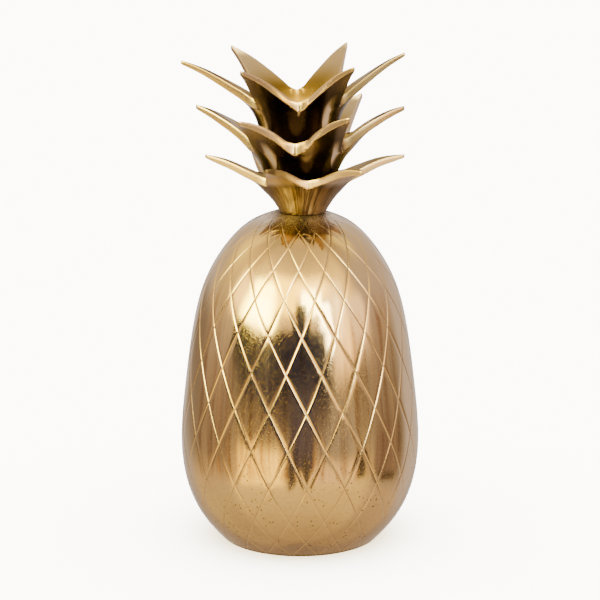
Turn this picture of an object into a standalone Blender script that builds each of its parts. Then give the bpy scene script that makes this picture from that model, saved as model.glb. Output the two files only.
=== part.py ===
"""Metal pineapple ornament: a grooved egg-shaped fruit with three nested cups of six leaves on top.

Metres, +Z up, origin in the middle of the flat foot. The front of the object faces -Y.
"""
import math

import bmesh
import bpy
import numpy as np

MM = 0.001
FRONT = 270.0
SMOOTH_BELOW = 16.0

# Fruit: outline of the casting from the edge of the foot to the edge of the seat, as (radius, height)
FOOT_RADIUS = 49.0 * MM
SEAT_RADIUS = 15.0 * MM
SEAT_HEIGHT = 204.3 * MM
FRUIT_OUTLINE = [
    (FOOT_RADIUS, 0.0),
    (59.6 * MM, 12.3 * MM),
    (69.0 * MM, 30.7 * MM),
    (73.5 * MM, 58.3 * MM),
    (71.4 * MM, 92.0 * MM),
    (66.5 * MM, 128.8 * MM),
    (58.9 * MM, 159.5 * MM),
    (45.0 * MM, 184.0 * MM),
    (30.9 * MM, 197.5 * MM),
    (SEAT_RADIUS, SEAT_HEIGHT),
]

OUTLINE_SAMPLES = 1200
FRUIT_COLOUR = (0.80, 0.62, 0.36)
FRUIT_ROUGHNESS = 0.22

# Crossed grooves: two families wind round the fruit, one to each side, and part it into diamonds
GROOVES_EACH_WAY = 20
HALF_PITCH = 180.0 / GROOVES_EACH_WAY
GROOVE_WIDTH = 2.0 * MM
GROOVE_DEPTH = 0.7 * MM
GROOVE_MAX_SHARE = 0.22
# The grooves cross at whole levels. A level is tall at the foot and lower towards the seat:
# it follows the radius, and settles by LEVEL_SETTLE over the first part of the outline
FOOT_LEVEL = -1.0
SEAT_LEVEL = 12.5
LEVEL_POWER = 1.1
LEVEL_SETTLE = 0.93
LEVEL_SETTLE_LENGTH = 76.0 * MM
HALVED_BELOW_LEVEL = 8
# Upwards the whole pattern turns a little, in degrees, between two places along the outline
PHASE_AT_FOOT = 3.4
PHASE_AT_SEAT = -1.2
PHASE_FROM = 80.0 * MM
PHASE_TO = 209.0 * MM

# Leaf cups
LEAVES = 6
LEAF_PITCH = 360.0 / LEAVES
LEAF_COLUMNS = 4
TIP_HALF_WIDTH = 0.75 * MM
NOTCH_FLARE = 0.13
NOTCH_FLARE_REACH = 0.15
LEAF_ROWS = [0.03, 0.12, 0.32, 0.56, 0.8, 1.0]
WALL_ROWS = 5
FLOOR_ROWS = 4

# Millimetres and degrees; each cup stands a little askew, as the hand-made one does
LOWER_CUP = {
    "name": "lower_leaf_cup",
    "colour": (0.72, 0.52, 0.27),
    "roughness": 0.28,
    # outside and inside of the cup below the notches, foot or floor first, as (radius, height)
    "outside": [(14.1, 204.6), (16.6, 208.8), (20.2, 213.7), (25.0, 218.8), (27.9, 221.8)],
    "inside": [(10.7, 208.4), (12.8, 211.3), (16.6, 216.4), (21.6, 221.6), (27.9, 226.9)],
    # height of the leaf's underside and of its top face, notch to tip in four equal steps
    "leaf_under": [221.8, 226.4, 230.5, 233.2, 235.7],
    "leaf_top": [226.9, 231.4, 234.9, 236.9, 237.7],
    "offset": 1.8,
    "turn": 6.8,
    "lean_side": 0.6,
    "lean_back": 2.6,
    # each leaf, from the right round by the back: reach, own turn in degrees, lift of the tip
    "leaves": [(62.3, -2.2, 0.1), (62.0, -3.0, 0.0), (62.0, -6.0, 0.0),
               (59.0, -7.0, 2.0), (56.8, 1.1, -0.4), (63.2, -3.3, -1.6)],
}
MIDDLE_CUP = {
    "name": "middle_leaf_cup",
    "colour": (0.76, 0.58, 0.34),
    "roughness": 0.26,
    "outside": [(8.6, 209.2), (13.1, 214.4), (17.5, 221.5), (22.7, 229.8), (26.9, 237.5), (31.8, 243.1)],
    "inside": [(7.2, 213.2), (10.6, 217.1), (14.3, 223.2), (19.2, 231.3), (23.6, 240.2), (31.8, 250.1)],
    "leaf_under": [243.1, 251.5, 257.3, 262.1, 265.8],
    "leaf_top": [250.1, 257.2, 262.2, 266.0, 268.5],
    "offset": 1.0,
    "turn": -6.0,
    "lean_side": 0.9,
    "lean_back": 2.0,
    "leaves": [(62.9, 5.0, -0.6), (66.0, 0.3, 1.0), (63.0, 0.0, 0.0),
               (63.5, -0.3, 1.2), (62.8, 1.0, -1.7), (63.8, 2.5, 0.1)],
}
UPPER_CUP = {
    "name": "upper_leaf_cup",
    "colour": (0.78, 0.60, 0.36),
    "roughness": 0.26,
    "outside": [(5.2, 213.6), (11.6, 220.9), (16.0, 230.1), (20.0, 239.3), (22.7, 248.5), (24.6, 258.7),
                (29.4, 269.2)],
    "inside": [(4.3, 217.5), (8.3, 222.7), (12.6, 231.9), (16.5, 240.3), (19.2, 249.3), (21.8, 260.7),
               (29.4, 275.0)],
    "leaf_under": [269.2, 278.0, 285.2, 291.5, 296.4],
    "leaf_top": [275.0, 283.2, 289.6, 294.9, 298.8],
    "offset": 0.8,
    "turn": 1.2,
    "lean_side": 2.0,
    "lean_back": 1.2,
    "leaves": [(65.1, -4.5, 0.6), (67.1, 1.0, 0.6), (71.5, 3.5, 1.2),
               (69.3, 1.2, 0.4), (65.7, -0.6, -0.3), (62.5, 1.2, -0.9)],
}


def spline_slopes(knots, values):
    """Slopes at the knots of the natural cubic spline through the values."""
    n = len(knots)
    step = np.diff(knots)
    rise = np.diff(values, axis=0)
    matrix = np.zeros((n, n))
    right = np.zeros((n,) + values.shape[1:])
    matrix[0, :2] = 2.0, 1.0
    right[0] = 3.0 * rise[0] / step[0]
    matrix[-1, -2:] = 1.0, 2.0
    right[-1] = 3.0 * rise[-1] / step[-1]
    for i in range(1, n - 1):
        matrix[i, i - 1:i + 2] = step[i], 2.0 * (step[i - 1] + step[i]), step[i - 1]
        right[i] = 3.0 * (rise[i - 1] / step[i - 1] * step[i] + rise[i] / step[i] * step[i - 1])
    return np.linalg.solve(matrix, right)


def spline(points, where):
    """Points on the natural cubic spline through the given points; where runs 0 to 1 along them."""
    values = np.array(points, dtype=float)
    chords = np.linalg.norm(np.diff(values, axis=0), axis=1)
    knots = np.concatenate([[0.0], np.cumsum(chords)])
    slopes = spline_slopes(knots, values)
    at = np.clip(np.atleast_1d(where), 0.0, 1.0) * knots[-1]
    span = np.clip(np.searchsorted(knots, at, side="right") - 1, 0, len(knots) - 2)
    width = (knots[span + 1] - knots[span])[:, None]
    u = (at - knots[span])[:, None] / width
    start, end = values[span], values[span + 1]
    out = start * (1 + 2 * u) * (1 - u) ** 2 + end * u * u * (3 - 2 * u)
    return out + width * (slopes[span] * u * (1 - u) ** 2 - slopes[span + 1] * u * u * (1 - u))


def smooth_step(value):
    t = min(max(value, 0.0), 1.0)
    return t * t * (3.0 - 2.0 * t)


def material(name, colour, roughness):
    mat = bpy.data.materials.new(name)
    mat.use_nodes = True
    shader = mat.node_tree.nodes["Principled BSDF"]
    shader.inputs["Base Color"].default_value = (*colour, 1.0)
    shader.inputs["Roughness"].default_value = roughness
    shader.inputs["Metallic"].default_value = 1.0
    return mat


def finish_object(name, mesh_builder, mat):
    """Turns a bmesh into one named object with its material and smooth shading."""
    bmesh.ops.triangulate(mesh_builder, faces=mesh_builder.faces[:])
    bmesh.ops.recalc_face_normals(mesh_builder, faces=mesh_builder.faces[:])
    mesh = bpy.data.meshes.new(name)
    mesh_builder.to_mesh(mesh)
    mesh_builder.free()
    mesh.materials.append(mat)
    mesh.shade_smooth()
    mesh.set_sharp_from_angle(angle=math.radians(SMOOTH_BELOW))
    obj = bpy.data.objects.new(name, mesh)
    bpy.context.scene.collection.objects.link(obj)
    return obj


class FruitSurface:
    """The turned outline of the fruit, read by groove level and by angle."""

    def __init__(self):
        line = spline(FRUIT_OUTLINE, np.linspace(0.0, 1.0, OUTLINE_SAMPLES))
        step = np.linalg.norm(np.diff(line, axis=0), axis=1)
        self.length = np.concatenate([[0.0], np.cumsum(step)])
        self.radius, self.height = line.T
        density = self.radius ** -LEVEL_POWER
        area = np.concatenate([[0.0], np.cumsum(0.5 * (density[1:] + density[:-1]) * step)])
        settle = LEVEL_SETTLE * (1.0 - np.exp(-self.length / LEVEL_SETTLE_LENGTH))
        climb = SEAT_LEVEL - FOOT_LEVEL - settle[-1]
        self.level = FOOT_LEVEL + climb * area / area[-1] + settle

    def along(self, level):
        return float(np.interp(level, self.level, self.length))

    def phase(self, level):
        part = smooth_step((self.along(level) - PHASE_FROM) / (PHASE_TO - PHASE_FROM))
        return PHASE_AT_FOOT + (PHASE_AT_SEAT - PHASE_AT_FOOT) * part

    def point(self, level, angle, sink=0.0):
        """The place at that groove level and angle; sunk squarely, or level at the two rims."""
        s = self.along(level)
        radius = float(np.interp(s, self.length, self.radius))
        height = float(np.interp(s, self.length, self.height))
        ahead = min(s + MM, self.length[-1])
        behind = max(s - MM, 0.0)
        slope_r = np.interp(ahead, self.length, self.radius) - np.interp(behind, self.length, self.radius)
        slope_z = np.interp(ahead, self.length, self.height) - np.interp(behind, self.length, self.height)
        on_rim = level <= FOOT_LEVEL or level >= SEAT_LEVEL
        if on_rim:
            radius -= sink
        else:
            norm = math.hypot(slope_r, slope_z)
            radius -= sink * slope_z / norm
            height += sink * slope_r / norm
        turn = math.radians(FRONT + angle + self.phase(level))
        return radius * math.cos(turn), radius * math.sin(turn), height

    def diamond_reach(self, level):
        """Distance from the middle of a diamond at that level to its sides."""
        middle = min(max(level, FOOT_LEVEL + 1), SEAT_LEVEL - 1)
        radius = float(np.interp(self.along(middle), self.length, self.radius))
        half_wide = math.radians(HALF_PITCH) * radius
        half_tall = 0.5 * (self.along(middle + 1) - self.along(middle - 1))
        return half_wide * half_tall / math.hypot(half_wide, half_tall)

    def groove_share(self, level):
        """Part of a diamond's reach that the slope into the groove takes up."""
        return min(0.5 * GROOVE_WIDTH / self.diamond_reach(level), GROOVE_MAX_SHARE)

    def groove_depth(self, level):
        """Full depth on the large diamonds, and shallower where the groove has to be narrower."""
        return GROOVE_DEPTH * self.groove_share(level) * self.diamond_reach(level) / (0.5 * GROOVE_WIDTH)


def fruit_body():
    """The fruit: every diamond stands proud of V grooves, with a flat foot and a flat seat."""
    surface = FruitSurface()
    bm = bmesh.new()
    known = {}

    def vertex(level, angle, sink=0.0):
        place = surface.point(level, angle, sink)
        key = tuple(round(c / MM, 3) for c in place)
        if key not in known:
            known[key] = bm.verts.new(place)
        return known[key]

    def groove_line(start, end):
        """The start of one side of a diamond and, on the larger ones, its middle."""
        if min(start[0], end[0]) < HALVED_BELOW_LEVEL:
            return [start, (0.5 * (start[0] + end[0]), 0.5 * (start[1] + end[1]))]
        return [start]

    def diamond(centre, corners, closed):
        """One diamond: sunk outline, raised outline shrunk towards the centre, and its face."""
        outline = []
        pairs = zip(corners, corners[1:] + corners[:1])
        for number, (start, end) in enumerate(pairs):
            if closed or number < len(corners) - 1:
                outline += groove_line(start, end)
        if not closed:
            outline.append(corners[-1])
        share = surface.groove_share(centre[0])
        low = [vertex(n, a, surface.groove_depth(n)) for n, a in outline]
        high = [vertex(n + (centre[0] - n) * share, a + (centre[1] - a) * share) for n, a in outline]
        middle = vertex(*centre)
        count = len(outline)
        for i in range(count if closed else count - 1):
            j = (i + 1) % count
            bm.faces.new((low[i], low[j], high[j], high[i]))
            bm.faces.new((high[i], high[j], middle))
        return low, high, middle

    foot_ring = []
    seat_ring = []
    last = int(math.floor(SEAT_LEVEL))
    for row in range(int(FOOT_LEVEL), last + 2):
        for k in range(GROOVES_EACH_WAY):
            a = HALF_PITCH * (row + 1) + 2 * HALF_PITCH * k
            left, right = (row, a - HALF_PITCH), (row, a + HALF_PITCH)
            rim_left, rim_right = (SEAT_LEVEL, a - HALF_PITCH / 2), (SEAT_LEVEL, a + HALF_PITCH / 2)
            if row == FOOT_LEVEL:
                low, high, middle = diamond((row, a), [right, (row + 1, a), left], False)
                foot_ring += [low[-1], high[-1], middle, high[0]]
            elif row < last:
                diamond((row, a), [(row - 1, a), right, (row + 1, a), left], True)
            else:
                # the seat cuts the top two rows of diamonds across
                corners = [left, (row - 1, a), right] if row == last else [(last, a)]
                low, high, middle = diamond((SEAT_LEVEL, a), [rim_left] + corners + [rim_right], False)
                seat_ring.append((a % 360.0, [low[0], high[0], middle, high[-1]]))
    seat_ring.sort(key=lambda item: item[0])
    close_disc(bm, foot_ring, 0.0)
    close_disc(bm, [v for _, piece in seat_ring for v in piece], SEAT_HEIGHT)
    return finish_object("fruit_body", bm, material("fruit_gold", FRUIT_COLOUR, FRUIT_ROUGHNESS))


def close_disc(bm, ring, height, centre=(0.0, 0.0)):
    """Closes a ring of vertices with triangles round one middle vertex."""
    middle = bm.verts.new((centre[0], centre[1], height))
    for i, start in enumerate(ring):
        bm.faces.new((start, ring[(i + 1) % len(ring)], middle))


def half_angle(part, radius, notch_radius):
    """Half the leaf's width as an angle, at that part of the way from the notch to the tip."""
    taper = (1.0 - NOTCH_FLARE) * (1.0 - part)
    near = math.sqrt(min(part / NOTCH_FLARE_REACH, 1.0))
    half_width = 0.5 * notch_radius * (taper + NOTCH_FLARE * (1.0 - near) ** 2) + TIP_HALF_WIDTH * part
    return math.degrees(math.asin(half_width / radius))


def leaf_cup(cup):
    """One cup: a hollow foot with a floor, opening into six leaves with upright cut edges."""
    bm = bmesh.new()
    foot_height = cup["outside"][0][1] * MM
    notch_radius, notch_height = (c * MM for c in cup["outside"][-1])
    half = LEAF_COLUMNS // 2

    def leant(x, y, z):
        """The cup stands a little askew: it leans more and more with height above its foot."""
        rise = z - foot_height
        share = smooth_step(rise / (notch_height - foot_height))
        side, back = (math.tan(math.radians(cup[k])) for k in ("lean_side", "lean_back"))
        lift = share * (x * side - y * back)
        return x - rise * side + cup["offset"] * MM, y + rise * back, z + lift

    def place(radius, angle, z):
        turn = math.radians(angle)
        return bm.verts.new(leant(radius * math.cos(turn), radius * math.sin(turn), z))

    def face_of_cup(stations, heights, rows):
        """Grid of vertices, leaf by leaf: rows of the cup wall, then rows of the leaf."""
        wall = spline(stations, np.linspace(0.0, 1.0, rows + 1)) * MM
        pitch = np.linspace(0.0, 1.0, len(heights))[:, None]
        curve = np.hstack([pitch, np.array(heights)[:, None] * MM])
        ring_rows = []
        for radius, z in wall:
            step = LEAF_PITCH / LEAF_COLUMNS
            start = cup["turn"] - LEAF_PITCH / 2
            ring_rows.append([place(radius, start + step * i, z) for i in range(LEAVES * LEAF_COLUMNS)])
        grids = []
        for k, (reach, own_turn, lift) in enumerate(cup["leaves"]):
            first = LEAF_COLUMNS * k
            grid = [[row[(first + c) % len(row)] for c in range(LEAF_COLUMNS + 1)] for row in ring_rows]
            for part in LEAF_ROWS:
                z = height_at(curve, part) + lift * MM * part ** 2
                radius = notch_radius + (reach * MM - notch_radius) * part
                wide = half_angle(part, radius, notch_radius)
                middle = cup["turn"] + LEAF_PITCH * k + own_turn * part
                grid.append([place(radius, middle + wide * c / half, z) for c in range(-half, half + 1)])
            grids.append(grid)
        return ring_rows, grids

    def skin(grids):
        for grid in grids:
            for lower, upper in zip(grid, grid[1:]):
                for c in range(LEAF_COLUMNS):
                    bm.faces.new((lower[c], lower[c + 1], upper[c + 1], upper[c]))

    out_rows, out_grids = face_of_cup(cup["outside"], cup["leaf_under"], WALL_ROWS)
    in_rows, in_grids = face_of_cup(cup["inside"], cup["leaf_top"], FLOOR_ROWS)
    skin(out_grids)
    skin(in_grids)
    for under, top in zip(out_grids, in_grids):
        for c in (0, LEAF_COLUMNS):
            edge_under = [row[c] for row in under[WALL_ROWS:]]
            edge_top = [row[c] for row in top[FLOOR_ROWS:]]
            for i in range(len(edge_under) - 1):
                bm.faces.new((edge_under[i], edge_under[i + 1], edge_top[i + 1], edge_top[i]))
        for c in range(LEAF_COLUMNS):
            bm.faces.new((under[-1][c], under[-1][c + 1], top[-1][c + 1], top[-1][c]))
    axis = (cup["offset"] * MM, 0.0)
    close_disc(bm, out_rows[0], foot_height, axis)
    floor_height = cup["inside"][0][1] * MM
    floor_centre = leant(0.0, 0.0, floor_height)
    close_disc(bm, in_rows[0], floor_centre[2], floor_centre[:2])
    gold = material(cup["name"] + "_gold", cup["colour"], cup["roughness"])
    return finish_object(cup["name"], bm, gold)


def height_at(curve, part):
    """Height read from a spline of (part, height) pairs at that part of the way."""
    knots = curve[:, 0]
    heights = curve[:, 1:]
    slopes = spline_slopes(knots, heights)
    i = min(int(np.searchsorted(knots, part, side="right")) - 1, len(knots) - 2)
    width = knots[i + 1] - knots[i]
    u = (part - knots[i]) / width
    low, high = float(heights[i, 0]), float(heights[i + 1, 0])
    bend = float(slopes[i, 0]) * u * (1 - u) ** 2 - float(slopes[i + 1, 0]) * u * u * (1 - u)
    return low * (1 + 2 * u) * (1 - u) ** 2 + high * u * u * (3 - 2 * u) + width * bend


def clear_scene():
    for obj in list(bpy.data.objects):
        bpy.data.objects.remove(obj, do_unlink=True)


clear_scene()
fruit_body()
for leaves in (LOWER_CUP, MIDDLE_CUP, UPPER_CUP):
    leaf_cup(leaves)
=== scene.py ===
# %% [markdown]
# # A metal pineapple, looked at closely
# The object is a hand-finished casting: an egg-shaped fruit with crossed grooves cut into it, and a
# crown of three open cups, each one cut into six leaves. This lesson models its looks in Blender.
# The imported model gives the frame, so every length below is a real one, in metres.

# %% Load the frame
import math

import bmesh
import bpy
import numpy as np
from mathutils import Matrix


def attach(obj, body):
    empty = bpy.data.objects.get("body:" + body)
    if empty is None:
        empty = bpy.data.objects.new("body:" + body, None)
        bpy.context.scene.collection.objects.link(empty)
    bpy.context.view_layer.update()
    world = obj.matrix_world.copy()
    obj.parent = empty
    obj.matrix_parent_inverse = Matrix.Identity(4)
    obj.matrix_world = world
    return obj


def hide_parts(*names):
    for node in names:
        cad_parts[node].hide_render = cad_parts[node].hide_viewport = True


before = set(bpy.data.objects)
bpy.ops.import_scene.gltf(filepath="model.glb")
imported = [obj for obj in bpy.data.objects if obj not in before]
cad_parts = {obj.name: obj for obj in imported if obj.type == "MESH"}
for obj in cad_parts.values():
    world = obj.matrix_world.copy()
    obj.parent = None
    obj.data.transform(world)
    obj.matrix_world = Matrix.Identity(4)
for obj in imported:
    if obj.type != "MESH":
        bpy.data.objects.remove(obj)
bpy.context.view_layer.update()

MM = 0.001
print("nodes:", ", ".join(sorted(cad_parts)))

# %% [markdown]
# ## The camera
# The photograph looks a little down on the piece from some way off, with a long lens, so its upright
# lines hardly converge. A short lens close by would frame the same width, but show more of the
# leaves' inner sides. Here the distance gives the ellipses of the crown the right fullness.

# %% Camera
CAMERA_DISTANCE = 1472.4 * MM
CAMERA_HEIGHT = 509.2 * MM
AIM_HEIGHT = 148.7 * MM
LENS, SENSOR_WIDTH = 148.25, 36.0


def add_object(name, data):
    """A new object with that data, in the scene."""
    made = bpy.data.objects.new(name, data)
    bpy.context.scene.collection.objects.link(made)
    return made


camera_data = bpy.data.cameras.new("camera")
camera_data.lens = LENS
camera_data.sensor_width = SENSOR_WIDTH
camera = add_object("camera", camera_data)
camera.location = (0.0, -CAMERA_DISTANCE, CAMERA_HEIGHT)
look_down = math.atan2(CAMERA_HEIGHT - AIM_HEIGHT, CAMERA_DISTANCE)
camera.rotation_euler = (math.pi / 2 - look_down, 0.0, 0.0)
bpy.context.scene.camera = camera
print("camera looks down by", round(math.degrees(look_down), 2), "degrees")

# %% [markdown]
# ## Shader maths as Python
# A finish is a small computation: mix this colour in where that mask is high. Drawn as nodes it is
# hard to read, and written as node calls it is long. So one class wraps an output socket and lets
# plain arithmetic add the Math nodes, and one method makes any other node. The settings of a node
# come first, because some of them decide which sockets it has.

# %% A wire between nodes
class Wire:
    """An output socket. Arithmetic on it adds Math nodes, and make() adds any other node."""

    def __init__(self, tree, socket=None):
        self.tree = tree
        self.socket = socket

    def plug(self, socket, value):
        if isinstance(value, Wire):
            self.tree.links.new(value.socket, socket)
        else:
            socket.default_value = value

    def make(self, kind, sockets=None, output=0, **settings):
        """Adds a node, with its settings and the values or links of its sockets."""
        node = self.tree.nodes.new("ShaderNode" + kind)
        stops = settings.pop("stops", None)
        for name, value in settings.items():
            setattr(node, name, value)
        if stops:
            ends = node.color_ramp.elements
            ends[0].position, ends[-1].position = stops[0][0], stops[-1][0]
            for place, _ in stops[1:-1]:
                ends.new(place)
            for element, (_, colour) in zip(ends, stops):
                element.color = (*colour, 1.0)
        for name, value in (sockets or {}).items():
            self.plug(node.inputs[name], value)
        return Wire(self.tree, node.outputs[output] if node.outputs else None)

    def math(self, operation, first, second=0.0):
        return self.make("Math", {0: first, 1: second}, operation=operation)

    def __add__(self, other):
        return self.math("ADD", self, other)

    def __sub__(self, other):
        return self.math("SUBTRACT", self, other)

    def __rsub__(self, other):
        return self.math("SUBTRACT", other, self)

    def __mul__(self, other):
        return self.math("MULTIPLY", self, other)

    def __truediv__(self, other):
        return self.math("DIVIDE", self, other)

    def __abs__(self):
        return self.math("ABSOLUTE", self)

    __radd__ = __add__
    __rmul__ = __mul__

    def smooth(self, low, high):
        """0 below low, 1 above high and a smooth step between them."""
        return self.make("MapRange", {0: self, 1: low, 2: high}, interpolation_type="SMOOTHSTEP")

    def mix(self, mask, first, second, blend="MIX"):
        """The first colour where the mask is 0, the second where it is 1."""
        sockets = {0: mask, 6: first, 7: second}
        return self.make("Mix", sockets, 2, data_type="RGBA", blend_type=blend)

    def stretched(self, factors):
        """A vector, multiplied axis by axis."""
        return self.make("VectorMath", {0: self, 1: factors}, operation="MULTIPLY")

    def noise(self, scale, detail=2.0, rough=0.5):
        sockets = {"Vector": self, "Scale": scale, "Detail": detail, "Roughness": rough}
        return self.make("TexNoise", sockets)


# %% [markdown]
# ## The studio
# Polished metal has hardly a colour of its own: what one sees is the room in it. So the room is
# designed as carefully as the metal. Cards and lamps would stand in the way when one walks round the
# piece, so the world itself is the room, painted by direction: azimuth is 0 towards the camera and
# grows to the right, elevation is 0 at the horizon. Each of the four walls is a ramp of bands from
# the floor to the ceiling, and the walls blend into each other.

# %% The room as bands of elevation
world = bpy.data.worlds.new("studio")
world.use_nodes = True
world.node_tree.nodes.clear()
bpy.context.scene.world = world
room = Wire(world.node_tree)
look = room.make("TexCoord", output=0)
toward_x = room.make("SeparateXYZ", {0: look}, 0)
toward_y = room.make("SeparateXYZ", {0: look}, 1)
toward_z = room.make("SeparateXYZ", {0: look}, 2)
DEGREE = 180.0 / math.pi
azimuth = room.math("ARCTAN2", toward_x, toward_y * -1.0) * DEGREE
elevation = room.math("ARCSINE", toward_z) * DEGREE
LOWEST, HIGHEST = -90.0, 90.0
LEFT_TO_RIGHT, FRONT_TO_SIDES, SIDES_TO_BACK = (-1.0, 1.0), (62.0, 84.0), (120.0, 148.0)

ROOM = {
    "front": [
        (-90, (0.6, 0.36, 0.16)), (-68, (0.75, 0.47, 0.19)), (-55, (0.92, 0.58, 0.21)),
        (-42, (1.12, 0.72, 0.24)), (-32, (1.28, 0.8, 0.25)), (-25, (1.5, 0.94, 0.26)),
        (-14, (1.1, 0.72, 0.3)), (-8, (0.6, 0.42, 0.22)), (-3, (0.32, 0.23, 0.14)),
        (5, (0.3, 0.23, 0.15)), (12, (1.0, 0.7, 0.34)), (22, (2.6, 1.6, 0.42)),
        (44, (2.2, 1.4, 0.34)), (52, (1.6, 1.02, 0.3)), (60, (1.2, 0.8, 0.28)),
        (72, (1.0, 0.64, 0.24)), (90, (1.1, 0.66, 0.2)),
    ],
    "left": [
        (-90, (0.5, 0.3, 0.15)), (-55, (0.7, 0.45, 0.19)), (-36, (0.92, 0.6, 0.23)),
        (-24, (0.9, 0.58, 0.25)), (-15, (0.44, 0.31, 0.19)), (-8, (0.42, 0.29, 0.19)),
        (-2, (0.62, 0.44, 0.3)), (6, (0.88, 0.62, 0.34)), (20, (1.1, 0.76, 0.29)),
        (36, (1.55, 1.0, 0.27)), (50, (1.15, 0.72, 0.25)), (62, (0.85, 0.58, 0.22)),
        (90, (0.7, 0.42, 0.14)),
    ],
    "right": [
        (-90, (0.5, 0.3, 0.15)), (-55, (0.64, 0.4, 0.19)), (-32, (0.86, 0.53, 0.25)),
        (-24, (0.55, 0.38, 0.23)), (-13, (0.32, 0.23, 0.15)), (-5, (0.46, 0.33, 0.22)),
        (2, (0.64, 0.43, 0.28)), (12, (0.76, 0.53, 0.38)), (36, (0.84, 0.6, 0.36)),
        (50, (0.82, 0.54, 0.24)), (62, (0.66, 0.42, 0.16)), (90, (0.5, 0.31, 0.11)),
    ],
    "back": [
        (-90, (0.36, 0.24, 0.16)), (-55, (0.42, 0.27, 0.17)), (-32, (0.58, 0.43, 0.32)),
        (-12, (0.8, 0.64, 0.54)), (0, (0.95, 0.76, 0.64)), (14, (0.8, 0.6, 0.45)),
        (40, (0.9, 0.7, 0.5)), (60, (1.2, 0.9, 0.6)), (90, (0.7, 0.45, 0.18)),
    ],
}


def bands(wall):
    """A colour ramp over the elevation."""
    height = (elevation - LOWEST) / (HIGHEST - LOWEST)
    places = [((angle - LOWEST) / (HIGHEST - LOWEST), colour) for angle, colour in ROOM[wall]]
    return room.make("ValToRGB", {0: height}, stops=places)


aside = abs(azimuth)
sides = room.mix(azimuth.smooth(*LEFT_TO_RIGHT), bands("left"), bands("right"))
light = room.mix(aside.smooth(*FRONT_TO_SIDES), bands("front"), sides)
light = room.mix(aside.smooth(*SIDES_TO_BACK), light, bands("back"))
for wall, stops in ROOM.items():
    print(wall + ":", len(stops), "bands")

# %% [markdown]
# Panels are laid over the bands one by one, as one would hang cloths and open shutters in a real room.
# They stand for windows, glowing walls and dark gaps. Each has its limits in azimuth and elevation and
# its softness across and upwards, and can be slanted or drawn to a point. One that runs past 180
# degrees is laid again a full turn further back.

# %% Panels
def panel(over, colour, left, right, low, high, soft, slant=0.0, narrowing=0.0):
    """A soft-edged panel; slant tilts it, and narrowing thins its upper end."""
    across = azimuth - 0.5 * (left + right)
    up = elevation - 0.5 * (low + high) - across * slant
    half_width, half_height = 0.5 * (right - left), 0.5 * (high - low)
    soft_across, soft_up = soft
    wide = abs(across) + up * narrowing
    mask = wide.smooth(half_width + soft_across, half_width - soft_across)
    mask = mask * abs(up).smooth(half_height + soft_up, half_height - soft_up)
    return room.mix(mask, over, (*colour, 1.0))


PANELS = {
    "pale wall, far right": ((0.82, 0.62, 0.5), 122, 150, -32, 12, (8, 8)),
    "dull wall, far left": ((0.31, 0.22, 0.15), -150, -117, -15, 2, (7, 7)),
    "pale wall behind": ((0.98, 0.85, 0.84), 160, 200, -24, 18, (12, 12)),
    "low wall, left": ((3.2, 2.0, 0.22), -62, -16, -26, -10, (3, 3)),
    "low wall, right": ((1.6, 1.02, 0.42), 14, 56, -25, -16, (3, 3)),
    "wall beside the window": ((3.6, 2.3, 0.82), 36, 60, 0, 40, (4, 4)),
    "bright strip of that wall": ((5.0, 3.5, 1.6), 43, 50, 6, 30, (3, 3)),
    "right wall": ((2.3, 1.5, 0.76), 58, 80, 2, 24, (5, 5)),
    "dull strip at the right": ((0.55, 0.41, 0.27), 18, 56, -13, -3, (3, 3)),
    "brown strip, right": ((0.36, 0.23, 0.15), 77, 107, -24, -9, (2, 2)),
    "dark strip below it": ((0.15, 0.095, 0.05), 86, 108, -25.5, -22, (1.2, 1.2)),
    "small dark patch": ((0.12, 0.095, 0.07), 57, 66, -23, -11, (1.5, 1.5)),
    "glow beside the left window": ((4.0, 2.5, 0.62), -92, -66, 14, 36, (7, 7)),
    "golden glint, left": ((1.9, 1.3, 0.3), -126, -108, 26, 54, (7, 7)),
    "golden glint, right": ((1.6, 1.1, 0.26), 104, 124, 38, 58, (7, 7)),
    "doorway behind": ((0.15, 0.115, 0.09), 171, 189, -22, 22, (2, 2)),
    "window behind": ((7.0, 5.6, 3.0), 168, 192, 30, 50, (3, 3)),
    "dark floor edge": ((0.17, 0.130, 0.12), -62, 30, -4, 6, (2.5, 2.5)),
    "wall above the windows": ((7.5, 4.7, 0.6), -50, 38, 34, 46, (8, 7)),
    "wall between the windows": ((6.8, 4.2, 0.1), -36, -6, 22, 46, (4, 4)),
    "left window": ((18.0, 14.4, 1.6), -69, -31, 11, 40, (7, 4), 0.08, 0.25),
    "left window, brightest part": ((21.0, 17.2, 5.0), -62, -36, 14, 29, (6, 4)),
    "right window": ((19.0, 15.8, 6.0), 2, 27, 22, 38.5, (2.5, 4)),
    "right window, lower pane": ((17.0, 14.6, 8.0), 23, 36, 5, 28, (1.8, 1.8)),
    "dark corner": ((0.055, 0.048, 0.060), -76, -52, -2, 11.5, (2.8, 2.8), -0.1),
    "low dark wall, left": ((0.075, 0.066, 0.095), -54, -26, -2, 6.5, (3.2, 3.2)),
    "dark gap": ((0.038, 0.034, 0.062), -27, 28, -3, 12.5, (2.4, 2.4)),
    "dark gap, upper end": ((0.045, 0.040, 0.060), -7, 10, 8, 29, (1.8, 1.8), 0, 0.25),
    "dark gap, lower end": ((0.15, 0.115, 0.13), -9, 14, -18, -1, (2.5, 2.5)),
    "dark gap, left foot": ((0.16, 0.12, 0.09), -12, -4, -28, -12, (2, 2), 0.6),
    "dark gap, right foot": ((0.13, 0.1, 0.075), 2, 10, -27, -12, (2, 2), -0.4),
}
for colour, left, right, *others in PANELS.values():
    light = panel(light, colour, left, right, *others)
    if right > 180:
        light = panel(light, colour, left - 360, right - 360, *others)
print("panels:", len(PANELS))

# %% [markdown]
# No real wall is one tone, so two streaky noises are multiplied into the walls. They stretch far up
# and vary quickly across, as the mirror image of a wall does in a turned piece. The camera itself sees
# plain white paper where the metal sees the room.

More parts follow.
